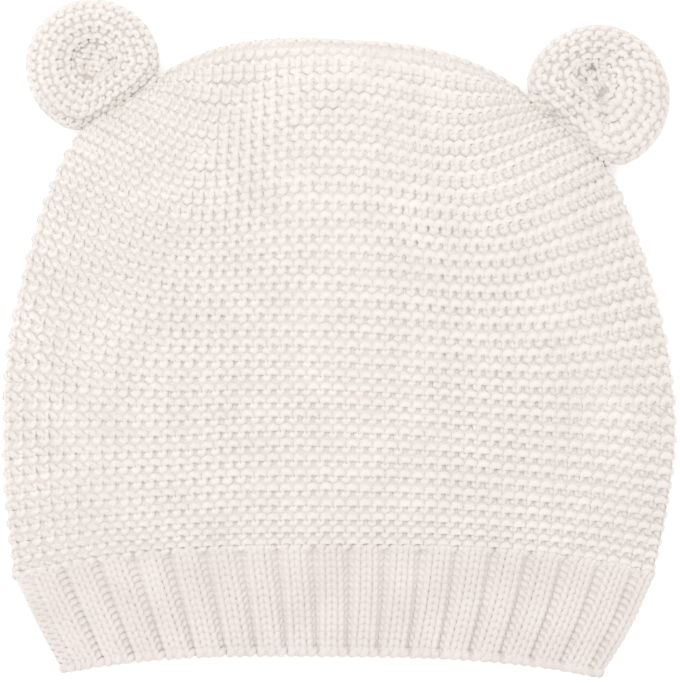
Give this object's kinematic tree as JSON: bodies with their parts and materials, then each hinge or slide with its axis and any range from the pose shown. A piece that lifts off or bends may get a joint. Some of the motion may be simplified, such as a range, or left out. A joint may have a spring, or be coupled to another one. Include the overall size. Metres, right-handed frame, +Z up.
{
  "type": "baby hat with ears",
  "caption": "Knitted baby hat lying flat on its back: garter-stitch pouch open at the bottom, ribbed band and two round gathered ears.",
  "frame": {"origin": "on the surface that the hat lies on, under the middle of its outline", "axes": "+X to the right as seen from the front, +Y from the hem to the crown, +Z up out of the hat's front"},
  "size_m": [0.18, 0.1804, 0.0221],
  "materials": {
    "body_knit": "matt warm white knitting yarn in garter stitch",
    "rib_knit": "matt warm white knitting yarn in two-by-one rib",
    "ear_knit": "matt warm white knitting yarn, gathered"
  },
  "bodies": {
    "root": {"crown": "body_knit", "rib_band": "rib_knit", "ear_left": "ear_knit", "ear_right": "ear_knit"}
  },
  "joints": []
}
